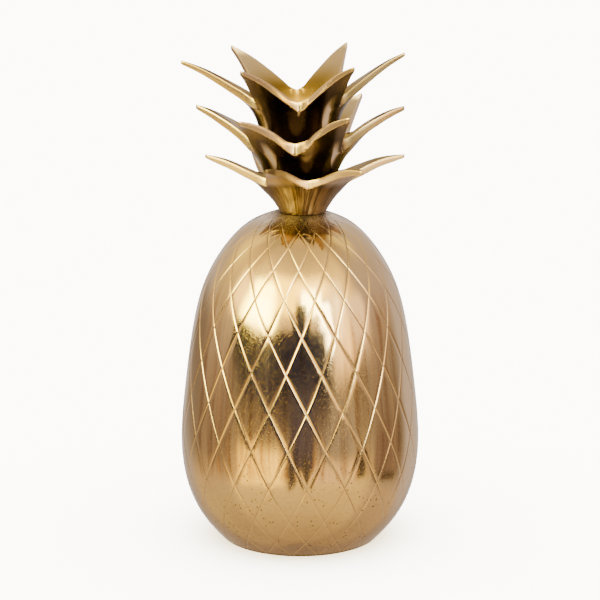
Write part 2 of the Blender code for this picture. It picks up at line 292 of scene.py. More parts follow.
# %% Streaks and the background
STREAKS = {
    "broad": (0.11, 0.010, 3.0, 0.72, [
        (0.36, (0.3, 0.17, 0.12)), (0.43, (0.66, 0.52, 0.42)), (0.5, (1.0, 1.0, 1.0)),
        (0.58, (1.0, 0.96, 0.88)), (0.66, (1.5, 1.1, 0.6))]),
    "fine": (0.42, 0.014, 2.0, 0.6, [
        (0.34, (0.55, 0.38, 0.3)), (0.45, (0.88, 0.84, 0.8)),
        (0.54, (1.0, 1.0, 1.0)), (0.66, (1.35, 1.22, 0.9))]),
}
STREAK_SHARE = 0.8
WALL_FOOT, WALL_TOP, WALL_END = (-27.0, -20.0), (22.0, 2.0), (128.0, 106.0)
PAPER = (12.0, 12.0, 12.0, 1.0)

wall_part = elevation.smooth(*WALL_FOOT) * elevation.smooth(*WALL_TOP) * aside.smooth(*WALL_END)
for across, upward, detail, rough, tints in STREAKS.values():
    where = room.make("CombineXYZ", {0: azimuth * across, 1: elevation * upward})
    tint = room.make("ValToRGB", {0: where.noise(1.0, detail, rough)}, stops=tints)
    light = room.mix(wall_part * STREAK_SHARE, light, tint, "MULTIPLY")

seen = room.make("LightPath", output=0)
shown = room.mix(seen, light, PAPER)
background = room.make("Background", {"Color": shown, "Strength": 1.0})
room.make("OutputWorld", {"Surface": background})
print("streaks:", ", ".join(STREAKS))

# %% [markdown]
# ## The floor
# The piece stands on a plain pale floor. A wide soft lamp overhead lights the floor alone, because
# polished metal has no matt side. Lamp and floor are both kept out of the mirror images, where the
# room's own tan floor is wanted.

# %% Floor and floor lamp
FLOOR_REACH = 14.0
FLOOR_CORNERS = ((-1, -1), (1, -1), (1, 1), (-1, 1))
PAPER_COLOUR, PAPER_ROUGHNESS = (0.88, 0.87, 0.86, 1.0), 0.9
LAMP_POWER, LAMP_COLOUR, LAMP_SPREAD = 36.0, (0.94, 0.97, 1.0), 75.0

floor_mesh = bpy.data.meshes.new("floor")
floor_points = [(x * FLOOR_REACH, y * FLOOR_REACH, 0.0) for x, y in FLOOR_CORNERS]
floor_mesh.from_pydata(floor_points, [], [(0, 1, 2, 3)])
floor = add_object("floor", floor_mesh)
floor.visible_glossy = False

paper = bpy.data.materials.new("pale paper")
paper.use_nodes = True
paper_shader = paper.node_tree.nodes["Principled BSDF"]
paper_shader.inputs["Base Color"].default_value = PAPER_COLOUR
paper_shader.inputs["Roughness"].default_value = PAPER_ROUGHNESS
paper_shader.inputs["Specular IOR Level"].default_value = 0.0
floor_mesh.materials.append(paper)

lamp_data = bpy.data.lights.new("floor lamp", "SUN")
lamp_data.energy = LAMP_POWER
lamp_data.color = LAMP_COLOUR
lamp_data.angle = math.radians(LAMP_SPREAD)
lamp = add_object("floor lamp", lamp_data)
lamp.visible_glossy = False
print("floor lamp:", lamp_data.energy, "W per square metre")

# %% [markdown]
# ## The gold finish
# Three things keep the polished gold from looking like plastic. The casting is a little uneven, so
# mirror images waver. The polishing wheel left scratches round the fruit and up the leaves, which
# smear them. And a fine grain glitters in the dark parts. All three are small heights, down to a few
# thousandths of a millimetre, for one Bump node.
#
# The meshes tell the finish more about their points. Shade and grime darken them: painted shade down in
# the crown, at the foot, by the seam under the crown and by some notches, and a darkening in the
# grooves. Ground marks the cut edges, which are paler and duller. Inner is a warmer gold inside the
# cups, a painted reflection of light bounced between the leaves. Polished is painted light: painted
# highlights by some notches of the cups and a paler tone by the seat. Groove is the dull bottom of a
# groove.

# %% Colours and scales of the finish
MICRON = 1e-6
# Dark tone for painted shade, for the darkening in the grooves and for the casting's pits.
SHADE_AND_PIT_TONE = (0.026, 0.015, 0.009)
FILED_EDGE = (0.92, 0.80, 0.60)
# Warmer gold painted inside the cups: painted reflection of light bounced between the leaves.
INSIDE_REFLECTION_GOLD = (0.50, 0.39, 0.10)
# Near-white gold for painted highlights by the notches and the paler painted light by the seat.
HIGHLIGHT_TONE = (1.00, 0.97, 1.00)
MOTTLE = (0.42, 0.26, 0.12)
FILED_SHARE, MOTTLE_SHARE, CLOUD_SHADE = 0.7, 0.22, 0.94
WAVE_SCALE, CLOUD_SCALE, GRAIN_SCALE = 55.0, 38.0, 1500.0
PIT_SCALE, PIT_PATCH_SCALE, MOTTLE_SCALE = 340.0, 70.0, 420.0
GRAIN_RAMP, CLOUD_RAMP, DARK_STREAK_RAMP = (0.50, 0.80), (0.3, 0.7), (0.42, 0.62)
PIT_RAMP, PIT_PATCH_RAMP, MOTTLE_RAMP = (0.22, 0.11), (0.47, 0.56), (0.45, 0.75)
FILED_STRETCH = (500.0, 500.0, 140.0)
FILED_HEIGHT, PIT_DEPTH = 2.0 * MICRON, 40.0 * MICRON
PITTED, PITS_HIGH_UP = (105.0 * MM, 30.0 * MM), 0.07
EVEN_CLOUD = 0.025
DULLING = {"cloud": 0.05, "ground": 0.12, "inner": 0.10, "grime": 0.14, "groove": 0.20, "pit": 0.3}
print("grains", round(1000.0 / GRAIN_SCALE, 1), "mm apart")


# %% [markdown]
# Scratches are a noise, stretched along the way that the wheel ran, round the axis or upwards. Pits
# are the cells of a Voronoi texture, only in some patches, and most of them low down.

# %% Scratches and pits
def scratch_marks(metal, place, run):
    """Noise for scratches; run says how fast it varies round the axis and upwards."""
    turned, upward = run
    around = metal.make("VectorMath", {0: place.stretched((1.0, 1.0, 0.0))}, operation="NORMALIZE")
    around = around.stretched((turned, turned, 0.0))
    rising = place.stretched((0.0, 0.0, upward))
    return metal.make("VectorMath", {0: around, 1: rising}, operation="ADD").noise(1.0, 3.0, 0.6)


def pits_and_mottle(metal, place):
    """Masks of the casting's pits and of its brown mottling."""
    spots = metal.make("TexVoronoi", {"Vector": place, "Scale": PIT_SCALE}, feature="F1")
    patches = place.noise(PIT_PATCH_SCALE, 1.0).smooth(*PIT_PATCH_RAMP)
    low_down = metal.make("SeparateXYZ", {0: place}, 2).smooth(*PITTED)
    pit = spots.smooth(*PIT_RAMP) * patches * (low_down * (1.0 - PITS_HIGH_UP) + PITS_HIGH_UP)
    mottle = place.noise(MOTTLE_SCALE, 2.0, 0.6).smooth(*MOTTLE_RAMP) * low_down
    return pit, mottle * MOTTLE_SHARE


# %% [markdown]
# The finish adds up the heights, lays the tones over each other from the metal to the painted shade
# and grime, and adds up what dulls it. The three finishes below differ only in colour and in these
# strengths.

# %% Gold
def gold(name, colour, roughness, grain_height, grain_dullness, scratch_height, scratch_run,
         wave_height=0.0, pits=0.0, dark_streaks=0.0):
    """The gold finish, with heights in microns and strengths from 0 to 1."""
    finish = bpy.data.materials.new(name)
    finish.use_nodes = True
    finish.node_tree.nodes.clear()
    metal = Wire(finish.node_tree)
    place = metal.make("TexCoord", output=3)

    def value(kind):
        return metal.make("Attribute", output=2, attribute_name=kind)

    grime, ground, inner = value("grime"), value("ground"), value("inner")
    grain = place.noise(GRAIN_SCALE, 0.0, 0.5).smooth(*GRAIN_RAMP)
    cloud = place.noise(CLOUD_SCALE, 2.0, 0.5)
    scratches = scratch_marks(metal, place, scratch_run)
    filed = place.stretched(FILED_STRETCH).noise(1.0, 2.0, 0.6)
    height = grain * (grain_height * MICRON) + scratches * (scratch_height * MICRON)
    height = height + filed * ground * FILED_HEIGHT
    height = height + place.noise(WAVE_SCALE, 1.0, 0.5) * (wave_height * MICRON)

    shaded = (*(part * CLOUD_SHADE for part in colour), 1.0)
    tone = metal.mix(cloud.smooth(*CLOUD_RAMP), (*colour, 1.0), shaded)
    # Painted reflection: a warmer gold inside the cups for light bounced between the leaves.
    tone = metal.mix(inner, tone, (*INSIDE_REFLECTION_GOLD, 1.0))
    # Painted light: a near-white gold for painted highlights by some notches and a paler tone by the seat.
    tone = metal.mix(value("polished"), tone, (*HIGHLIGHT_TONE, 1.0))
    tone = metal.mix(ground * FILED_SHARE, tone, (*FILED_EDGE, 1.0))
    # The darkening, painted shade included, is streaked along the scratches.
    if dark_streaks:
        grime = grime + scratches.smooth(*DARK_STREAK_RAMP) * grime * dark_streaks
    # Painted shade and grime: where they lie, the tone is pulled to a dark brown.
    tone = metal.mix(grime, tone, (*SHADE_AND_PIT_TONE, 1.0))

    dull = cloud * DULLING["cloud"] + grain * grain_dullness + (roughness - EVEN_CLOUD)
    dull = dull + ground * DULLING["ground"] + inner * DULLING["inner"] + grime * DULLING["grime"]
    if pits:
        pit, mottle = pits_and_mottle(metal, place)
        tone = metal.mix(mottle, tone, (*MOTTLE, 1.0))
        tone = metal.mix(pit * pits, tone, (*SHADE_AND_PIT_TONE, 1.0))
        dull = dull + value("groove") * DULLING["groove"] + pit * DULLING["pit"]
        height = height - pit * PIT_DEPTH
    bump = metal.make("Bump", {"Height": height, "Distance": 1.0, "Strength": 1.0})
    shader = metal.make("BsdfPrincipled", {
        "Base Color": tone, "Metallic": 1.0, "Roughness": dull, "Normal": bump})
    metal.make("OutputMaterial", {"Surface": shader})
    return finish


ROUND_THE_PIECE = (8.0, 1300.0)
UP_THE_PIECE = (22.0, 50.0)
POLISHED_GOLD = (0.88, 0.74, 0.50)
BRUSHED_GOLD = (0.88, 0.66, 0.41)
fruit_gold = gold(
    "polished gold, fruit", POLISHED_GOLD, roughness=0.085, grain_height=3.1, grain_dullness=0.14,
    scratch_height=1.6, scratch_run=ROUND_THE_PIECE, pits=0.85)
lower_gold = gold(
    "polished gold, lower leaves", BRUSHED_GOLD, roughness=0.22, grain_height=0.4, grain_dullness=0.05,
    scratch_height=20.0, scratch_run=UP_THE_PIECE, dark_streaks=0.16)
leaf_gold = gold(
    "polished gold, leaves", POLISHED_GOLD, roughness=0.10, grain_height=0.4, grain_dullness=0.04,
    scratch_height=3.0, scratch_run=UP_THE_PIECE, wave_height=160.0)
print("finishes:", fruit_gold.name, "|", lower_gold.name, "|", leaf_gold.name)

# %% [markdown]
# ## Smooth curves through a few points
# Both the fruit and the leaves are described by a handful of points. A natural cubic spline joins
# them: it passes through every point and bends as little as it can, as a thin wooden strip does that a
# boat builder pins down.

# %% Splines
def spline_slopes(knots, values):
    """Slopes at the knots of the natural cubic spline through the values."""
    n = len(knots)
    step = np.diff(knots)
    rise = np.diff(values, axis=0)
    matrix = np.zeros((n, n))
    right = np.zeros((n,) + values.shape[1:])
    matrix[0, :2] = 2.0, 1.0
    right[0] = 3.0 * rise[0] / step[0]
    matrix[-1, -2:] = 1.0, 2.0
    right[-1] = 3.0 * rise[-1] / step[-1]
    for i in range(1, n - 1):
        matrix[i, i - 1:i + 2] = step[i], 2.0 * (step[i - 1] + step[i]), step[i - 1]
        right[i] = 3.0 * (rise[i - 1] / step[i - 1] * step[i] + rise[i] / step[i] * step[i - 1])
    return np.linalg.solve(matrix, right)


def spline_at(knots, values, at):
    """Values of the natural cubic spline at the given places between the knots."""
    slopes = spline_slopes(knots, values)
    span = np.clip(np.searchsorted(knots, at, side="right") - 1, 0, len(knots) - 2)
    width = (knots[span + 1] - knots[span])[:, None]
    u = (at - knots[span])[:, None] / width
    out = values[span] * (1 + 2 * u) * (1 - u) ** 2 + values[span + 1] * u * u * (3 - 2 * u)
    return out + width * (slopes[span] * u * (1 - u) ** 2 - slopes[span + 1] * u * u * (1 - u))


def lengths_along(points):
    """How far each point is from the first, along the chords."""
    return np.concatenate([[0.0], np.cumsum(np.linalg.norm(np.diff(points, axis=0), axis=1))])


def curve_through(points, where):
    """Points on the spline through the given ones; where runs from 0 to 1 along the chords."""
    values = np.array(points, dtype=float)
    knots = lengths_along(values)
    return spline_at(knots, values, np.clip(where, 0.0, 1.0) * knots[-1])


def smooth_step(value):
    t = np.clip(value, 0.0, 1.0)
    return t * t * (3.0 - 2.0 * t)


# %% [markdown]
# ## The fruit
# Grooves one and a half millimetres wide, pressed into an egg by displacement, need a very fine mesh
# everywhere, and their edges still come out as steps. So the mesh follows them. Each family of grooves
# is the set of lines where one of two numbers, p or q, is whole. Their sum is the level above the foot
# and their difference the angle, so a grid in p and q wraps the whole egg, with every groove along a
# grid line.

# %% Outline of the fruit and levels of the grooves
FRUIT_OUTLINE = [
    (49.0, 0.0), (59.6, 12.3), (69.0, 30.7), (73.5, 58.3), (71.4, 92.0),
    (66.5, 128.8), (58.9, 159.5), (45.0, 184.0), (30.9, 197.5), (15.0, 204.3),
]
OUTLINE_STEPS = 1200
GROOVES_EACH_WAY = 20
FOOT_LEVEL, SEAT_LEVEL = -1.0, 12.5
LEVEL_POWER = 1.1
LEVEL_SETTLE, LEVEL_SETTLE_LENGTH = 0.93, 76.0 * MM
PHASE_AT_FOOT, PHASE_AT_SEAT = 3.4, -1.2
PHASE_FROM, PHASE_TO = 80.0 * MM, 209.0 * MM
FRONT = 270.0

outline = curve_through(FRUIT_OUTLINE, np.linspace(0.0, 1.0, OUTLINE_STEPS)) * MM
outline_radius, outline_height = outline.T
outline_length = lengths_along(outline)
density = outline_radius ** -LEVEL_POWER
climbing = 0.5 * (density[1:] + density[:-1]) * np.diff(outline_length)
climbed = np.concatenate([[0.0], np.cumsum(climbing)])
settled = LEVEL_SETTLE * (1.0 - np.exp(-outline_length / LEVEL_SETTLE_LENGTH))
climb = SEAT_LEVEL - FOOT_LEVEL - settled[-1]
outline_level = FOOT_LEVEL + climb * climbed / climbed[-1] + settled
tangent = np.gradient(outline, outline_length, axis=0)
tangent /= np.linalg.norm(tangent, axis=1)[:, None]


def by_level(level, values):
    return np.interp(level, outline_level, values)


def diamond_reach(level):
    """Distance from the middle of a diamond at that level to its sides."""
    middle = np.clip(level, FOOT_LEVEL + 1, SEAT_LEVEL - 1)
    half_wide = math.pi / GROOVES_EACH_WAY * by_level(middle, outline_radius)
    half_tall = 0.5 * (by_level(middle + 1, outline_length) - by_level(middle - 1, outline_length))
    return half_wide * half_tall / np.hypot(half_wide, half_tall)


print("outline", round(outline_length[-1] / MM, 1), "mm long")

# %% [markdown]
# The grooves were cut by hand, so each one wanders a little, and is here deeper and there shallower.
# Three slow waves with random phases give every groove its own way, the same each time.

# %% How each groove wanders
hand = np.random.default_rng(20)
WAVES, WAVE_WEIGHTS = np.array([0.11, 0.27, 0.61]), np.array([0.5, 0.35, 0.25])


def wandering(count):
    """One slowly varying function of the level, about -1 to 1, for each of the grooves."""
    phases = hand.uniform(0.0, 2.0 * math.pi, (count, len(WAVES)))

    def read(line, level):
        angles = 2.0 * math.pi * level[..., None] * WAVES + phases[line % count]
        return (np.sin(angles) * WAVE_WEIGHTS).sum(-1)
    return read


FAMILIES = ("rising to the right", "rising to the left")
wander, width_change, depth_change = (
    [wandering(GROOVES_EACH_WAY) for _ in FAMILIES] for _ in range(3))
print("grooves:", GROOVES_EACH_WAY * len(FAMILIES))

# %% [markdown]
# Across each groove the grid has four narrow cells on either side, which follow its rounded section,
# and between the grooves it has wide ones. That spends the triangles where the light changes fast. A
# rounded groove shows a light line beside a dark one, where a plain V would show one flat tone. The
# cuts are lighter near the foot and near the seat.

# %% The grid of the fruit
CELLS = 18
HALF_CELLS = CELLS // 2
SHOULDER = 0.74 * MM
GROOVE_DEPTH = 0.29 * MM
GROOVE_ROUNDING = 1.5
CUT_TO_DEPTH = 1.5
WANDER, STEADY_END = 0.30 * MM, 0.5
WIDTH_VARIES, DEPTH_VARIES = 0.15, 0.30
LIGHT_CUT, LIGHT_CUT_BELOW, FULL_CUT_ABOVE = 0.74, 0.5, 5.0
CROWDED_CUT, CROWDED_ABOVE = 0.66, 6.5
NARROW_CELLS = 4
SHOULDER_SHARE_MAX = 0.24


def cut(level):
    """How wide and deep the cuts are at that level, from 0 to 1."""
    low = smooth_step((level - LIGHT_CUT_BELOW) / (FULL_CUT_ABOVE - LIGHT_CUT_BELOW))
    high = smooth_step((level - CROWDED_ABOVE) / (SEAT_LEVEL - 1.0 - CROWDED_ABOVE))
    return (LIGHT_CUT + (1.0 - LIGHT_CUT) * low) * (1.0 - (1.0 - CROWDED_CUT) * high)


def across_cells(index, reach, left_width, right_width):
    """Place from 0 to 1 between two grooves of a grid line, for grooves of those widths."""
    mirrored = index > HALF_CELLS
    near = np.where(mirrored, CELLS - index, index)
    width = np.where(mirrored, right_width, left_width)
    edge = np.minimum(SHOULDER * width / (2.0 * reach), SHOULDER_SHARE_MAX)
    fine = edge * near / NARROW_CELLS
    coarse = edge + (0.5 - edge) * (near - NARROW_CELLS) / (HALF_CELLS - NARROW_CELLS)
    place = np.where(near <= NARROW_CELLS, fine, coarse)
    return np.where(mirrored, 1.0 - place, place), edge


def groove_depth(place, edge, line, level, family):
    """Depth of a family's grooves at that place between two of them."""
    near = np.minimum(place, 1.0 - place)
    closest = np.where(place > 0.5, line + 1, line)
    varied = 1.0 + DEPTH_VARIES * depth_change[family](closest, level)
    depth = GROOVE_DEPTH * cut(level) ** CUT_TO_DEPTH * varied
    narrow = np.minimum(1.0, 2.0 * edge * diamond_reach(level) / SHOULDER)
    return depth * narrow * np.clip(1.0 - near / edge, 0.0, 1.0) ** GROOVE_ROUNDING


def fruit_grid():
    """Level, angle and depth of all grid points, ring by ring from the foot to the seat."""
    first, last = int(FOOT_LEVEL * CELLS), int(SEAT_LEVEL * CELLS)
    ring = GROOVES_EACH_WAY * CELLS
    step = np.repeat(np.arange(first, last + 1)[:, None], ring, axis=1)
    turn = step % 2 + 2 * np.arange(ring)[None, :]
    level = step / CELLS
    reach = diamond_reach(level)
    fade = smooth_step((level - FOOT_LEVEL) / STEADY_END)
    fade = fade * smooth_step((SEAT_LEVEL - level) / STEADY_END)
    numbers, depths = [], []
    for family, index in enumerate(((step + turn) // 2, (step - turn) // 2)):
        line, cell = index // CELLS, index % CELLS
        varied = [WIDTH_VARIES * width_change[family](line + side, level) for side in (0, 1)]
        widths = [cut(level) + change for change in varied]
        place, edge = across_cells(cell, reach, *widths)
        depths.append(groove_depth(place, edge, line, level, family))
        shifts = [wander[family](line + side, level) for side in (0, 1)]
        drift = (shifts[0] * (1.0 - place) + shifts[1] * place) * WANDER / (2.0 * reach)
        numbers.append(line + place + drift * fade)
    level_here = np.clip(numbers[0] + numbers[1], FOOT_LEVEL, SEAT_LEVEL)
    level_here[0] = FOOT_LEVEL
    level_here[-1] = SEAT_LEVEL
    angle = (numbers[0] - numbers[1]) * 180.0 / GROOVES_EACH_WAY
    return level_here, angle, np.maximum(*depths)


grid_level, grid_angle, grid_depth = fruit_grid()
print("grid points:", grid_level.size, "| deepest groove", round(grid_depth.max() / MM, 2), "mm")

# %% [markdown]
# Hand polishing leaves broad hollows of a few hundredths of a millimetre in the egg. They are too
# shallow to see as shape, but they bend every mirror image.

# %% From levels and angles to points
UNEVEN = 0.010 * MM
UNEVEN_WAVES, CALMER_BY = 26, 5.0
FEWEST_TURNS, MOST_TURNS = 2, 17
STEEPEST_RISE = 90.0


def unevenness(angle, height):
    """Broad shallow hollows, the same all round: waves with a whole number of turns."""
    total = np.zeros_like(angle)
    for _ in range(UNEVEN_WAVES):
        turns = hand.integers(FEWEST_TURNS, MOST_TURNS)
        rise = hand.uniform(-STEEPEST_RISE, STEEPEST_RISE)
        phase = hand.uniform(0.0, 2.0 * math.pi)
        total += np.sin(turns * angle + rise * height + phase) / (1.0 + turns / CALMER_BY)
    return total * UNEVEN


def fruit_points():
    length = by_level(grid_level, outline_length)
    settled_turn = smooth_step((length - PHASE_FROM) / (PHASE_TO - PHASE_FROM))
    phase = PHASE_AT_FOOT + (PHASE_AT_SEAT - PHASE_AT_FOOT) * settled_turn
    turn = np.radians(FRONT + grid_angle + phase)
    radius = by_level(grid_level, outline_radius)
    height = by_level(grid_level, outline_height)
    inward = grid_depth + unevenness(turn, height)
    lean_r, lean_z = by_level(grid_level, tangent[:, 0]), by_level(grid_level, tangent[:, 1])
    on_rim = (grid_level <= FOOT_LEVEL) | (grid_level >= SEAT_LEVEL)
    radius = radius - inward * np.where(on_rim, 1.0, lean_z)
    height = height + inward * np.where(on_rim, 0.0, lean_r)
    height = np.clip(height, 0.0, None)
    return np.stack([radius * np.cos(turn), radius * np.sin(turn), height], axis=-1)


fruit_place = fruit_points()
print("fruit is", (np.ptp(fruit_place.reshape(-1, 3), axis=0) / MM).round(1), "mm in size")

# %% [markdown]
# Every mesh is finished in the same way: points that fall together are merged, edges sharper than 24
# degrees stay sharp, and the piece rides with the model. It is hidden from the floor's diffuse rays,
# so that it throws a soft shadow there but no brown glow.

# %% From points to a piece
SHARP_ANGLE = 24.0
MERGE_DISTANCE = 1e-7


def link_mesh(name, points, faces, material, values):
    """A mesh object with its material and per-vertex values, riding with the model."""
    mesh = bpy.data.meshes.new(name)
    mesh.from_pydata(points, [], faces)
    for value_name, numbers in values.items():
        layer = mesh.attributes.new(value_name, "FLOAT", "POINT")
        layer.data.foreach_set("value", np.asarray(numbers, dtype=np.float32))
    builder = bmesh.new()
    builder.from_mesh(mesh)
    bmesh.ops.remove_doubles(builder, verts=builder.verts[:], dist=MERGE_DISTANCE)
    bmesh.ops.recalc_face_normals(builder, faces=builder.faces[:])
    if builder.calc_volume(signed=True) < 0.0:
        bmesh.ops.reverse_faces(builder, faces=builder.faces[:])
    open_edges = sum(1 for edge in builder.edges if not edge.is_manifold)
    builder.to_mesh(mesh)
    builder.free()
    mesh.materials.append(material)
    mesh.shade_smooth()
    mesh.set_sharp_from_angle(angle=math.radians(SHARP_ANGLE))
    piece = add_object(name, mesh)
    piece.visible_diffuse = False
    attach(piece, "root")
    triangles = sum(len(face.vertices) - 2 for face in mesh.polygons)
    print(name + ":", triangles, "triangles,", open_edges, "open edges")
    return piece


# %% [markdown]
# The faces join each point with its neighbours one ring up and two rings up, so every face is a small
# diamond. Half faces close the first and last ring, and a flat disc of triangles closes foot and seat.

# %% Faces of the fruit
def fruit_faces():
    rings, ring = grid_level.shape
    first = int(FOOT_LEVEL * CELLS)

    def number(row, turn):
        step = first + row
        return row * ring + ((turn - step % 2) // 2) % ring

    faces = []
    for row in range(rings - 1):
        turns = (first + row) % 2 + 2 * np.arange(ring)
        left, right = number(row + 1, turns - 1), number(row + 1, turns + 1)
        if row < rings - 2:
            faces += np.stack([number(row, turns), right, number(row + 2, turns), left], 1).tolist()
        else:
            faces += np.stack([number(row, turns), right, left], 1).tolist()
    turns = (first + 1) % 2 + 2 * np.arange(ring)
    faces += np.stack([number(0, turns - 1), number(0, turns + 1), number(1, turns)], 1).tolist()
    return faces


def close_rings(points, faces):
    """Adds a middle point to the first and the last ring and joins it to them."""
    rings, ring = grid_level.shape
    for start, height in ((0, 0.0), ((rings - 1) * ring, outline_height[-1])):
        middle = len(points)
        points.append((0.0, 0.0, float(height)))
        faces += [(start + i, start + (i + 1) % ring, middle) for i in range(ring)]


# %% [markdown]
# The grooves are darkened by their depth, more towards the seat. Painted shade darkens the corners
# round foot and seat: a painted contact shadow along the foot and painted shade by the seam under the
# crown. The zone by the seat is worn duller and is also painted paler, a painted light.

# %% The fruit as a mesh
GROOVE_DARKENING, MORE_DARKENING, MORE_DARKENING_FROM, MORE_DARKENING_OVER = 0.24, 0.34, 6.0, 3.0
FOOT_PAINTED_SHADOW, FOOT_SHADOW_TOP, FOOT_SHADOW_OVER = 0.9, 1.3 * MM, 0.8 * MM
SEAT_PAINTED_SHADE, SEAT_SHADE_FROM, SEAT_SHADE_OVER = 0.30, 11.7, 0.3
WORN_FROM, WORN_OVER = 9.8, 1.6
GROOVE_DULLNESS, WORN_DULLNESS, SEAT_PAINTED_LIGHT = 0.8, 0.9, 0.85


def in_order(values, at_middles=0.0):
    """The values of the grid points, and after them those of the two middle points."""
    return np.append(np.clip(values, 0.0, 1.0), [at_middles, at_middles])


def make_fruit():
    height = fruit_place[..., 2]
    deep = grid_depth / (GROOVE_DEPTH * cut(grid_level) ** CUT_TO_DEPTH)
    worn = smooth_step((grid_level - WORN_FROM) / WORN_OVER)
    groove_dark = GROOVE_DARKENING + MORE_DARKENING * smooth_step((grid_level - MORE_DARKENING_FROM) / MORE_DARKENING_OVER)
    grime = groove_dark * deep ** 3
    # Painted contact shadow along the foot.
    grime = grime + FOOT_PAINTED_SHADOW * smooth_step((FOOT_SHADOW_TOP - height) / FOOT_SHADOW_OVER)
    # Painted shade by the seam under the crown.
    grime = grime + SEAT_PAINTED_SHADE * smooth_step((grid_level - SEAT_SHADE_FROM) / SEAT_SHADE_OVER)
    values = {
        "grime": in_order(grime, at_middles=1.0),
        "groove": in_order(np.maximum(GROOVE_DULLNESS * deep, WORN_DULLNESS * worn)),
        # Painted light: a paler tone by the seat.
        "polished": in_order(SEAT_PAINTED_LIGHT * worn),
    }
    points, faces = fruit_place.reshape(-1, 3).tolist(), fruit_faces()
    close_rings(points, faces)
    piece = link_mesh("fruit", points, faces, fruit_gold, values)
    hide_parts("fruit_body")


make_fruit()

# %% [markdown]
# ## The crown
# Each cup was turned hollow, flared, and then cut down into six pointed leaves, which were bent out a
# little. So a cup is built as it was made: two turned skins, one outside and one inside, that run on
# into six leaves, and a cut edge between them. The cups stand a little askew, as the real ones do.
#
# Lengths are in millimetres here and directions in degrees, with 0 in front. Each leaf has its reach,
# its turn and its lift at the tip. Shade is the painted shade at foot, notch and tip, outside and
# inside, and fade is how far out it changes. Front is how much more painted shade the front has, and
# front_tip is the tips' painted shade there. The directions of painted highlights by the notches and of
# painted shade on the cut edges are given too.

# %% Sizes of the cups
LEAVES = 6
LEAF_PITCH = 360.0 / LEAVES
CUPS = {
    "lower_leaves": {
        "node": "lower_leaf_cup", "slot": "lower_leaves", "gold": lower_gold,
        "outside": [(14.1, 204.6), (16.6, 208.8), (20.2, 213.7), (25.0, 218.8), (27.9, 221.8)],
        "inside": [(10.7, 208.4), (12.8, 211.3), (16.6, 216.4), (21.6, 221.6), (27.9, 226.9)],
        "leaf_under": [221.8, 226.4, 230.5, 233.2, 235.7],
        "leaf_top": [226.9, 231.4, 234.9, 236.9, 237.7],
        "offset": 1.8, "turn": 6.8, "lean_side": 0.6, "lean_back": 2.6,
        "shade": [(0.74, 0.76, 0.20), (0.8, 0.2, 0.05)], "front": 0.17, "front_tip": 0.42, "fade": 0.3,
        "polished": (), "shaded_edge": (67.0, -24.0),
        "leaves": [(62.3, -2.2, 0.1), (62.0, -3.0, 0.0), (62.0, -6.0, 0.0),
                   (59.0, -7.0, 2.0), (56.8, 1.1, -0.4), (63.2, -3.3, -1.6)],
    },
    "middle_leaves": {
        "node": "middle_leaf_cup", "slot": "middle_leaves", "gold": leaf_gold,
        "outside": [(8.6, 209.2), (13.1, 214.4), (17.5, 221.5), (22.7, 229.8), (26.9, 237.5), (31.8, 243.1)],
        "inside": [(7.2, 213.2), (10.6, 217.1), (14.3, 223.2), (19.2, 231.3), (23.6, 240.2), (31.8, 250.1)],
        "leaf_under": [243.1, 251.5, 257.3, 262.1, 265.8],
        "leaf_top": [250.1, 257.2, 262.2, 266.0, 268.5],
        "offset": 1.0, "turn": -6.0, "lean_side": 0.9, "lean_back": 2.0,
        "shade": [(1.0, 0.97, 0.25), (0.8, 0.2, 0.0)], "front": 0.0, "front_tip": 0.75, "fade": 0.75,
        "polished": (-35.0, 40.0, 165.0), "shaded_edge": (63.0,),
        "leaves": [(62.9, 5.0, -0.6), (66.0, 0.3, 1.0), (63.0, 0.0, 0.0),
                   (63.5, -0.3, 1.2), (62.8, 1.0, -1.7), (63.8, 2.5, 0.1)],
    },
    "upper_leaves": {
        "node": "upper_leaf_cup", "slot": "upper_leaves", "gold": leaf_gold,
        "outside": [(5.2, 213.6), (11.6, 220.9), (16.0, 230.1), (20.0, 239.3), (22.7, 248.5),
                    (24.6, 258.7), (29.4, 269.2)],
        "inside": [(4.3, 217.5), (8.3, 222.7), (12.6, 231.9), (16.5, 240.3), (19.2, 249.3),
                   (21.8, 260.7), (29.4, 275.0)],
        "leaf_under": [269.2, 278.0, 285.2, 291.5, 296.4],
        "leaf_top": [275.0, 283.2, 289.6, 294.9, 298.8],
        "offset": 0.8, "turn": 1.2, "lean_side": 2.0, "lean_back": 1.2,
        "shade": [(1.0, 0.97, 0.25), (0.8, 0.25, 0.0)], "front": 0.0, "front_tip": 0.85, "fade": 0.75,
        "polished": (-56.0, 39.0, 170.0), "shaded_edge": (69.0,),
        "leaves": [(65.1, -4.5, 0.6), (67.1, 1.0, 0.6), (71.5, 3.5, 1.2),
                   (69.3, 1.2, 0.4), (65.7, -0.6, -0.3), (62.5, 1.2, -0.9)],
    },
}
print("cups:", ", ".join(CUPS), "| leaves in all:", LEAVES * len(CUPS))

# %% [markdown]
# The outline of a leaf, seen from above, is a formula: its half width falls evenly from the notch to
# a blunt tip, falls faster at once beside the notch, which rounds it, and ends in a small arc.

# %% Outline of a leaf
NOTCH_FLARE = 0.13
NOTCH_FLARE_REACH = 0.15
TIP_HALF_WIDTH = 0.75 * MM
TIP_ARC = 1.1 * MM
TIP_END = 0.12 * MM


def tip_arc(part, leaf_length):
    """0 on the leaf, rising to 1 over the small arc at its tip."""
    return np.clip((part - 1.0) * leaf_length / TIP_ARC + 1.0, 0.0, 1.0)


def leaf_half_width(part, notch_radius, leaf_length):
    """Half the width of a leaf at that part of the way from the notch to the tip."""
    taper = (1.0 - NOTCH_FLARE) * (1.0 - part)
    near = np.sqrt(np.minimum(part / NOTCH_FLARE_REACH, 1.0))
    width = 0.5 * notch_radius * (taper + NOTCH_FLARE * (1.0 - near) ** 2) + TIP_HALF_WIDTH * part
    return np.maximum(width * np.sqrt(1.0 - tip_arc(part, leaf_length) ** 2), TIP_END)


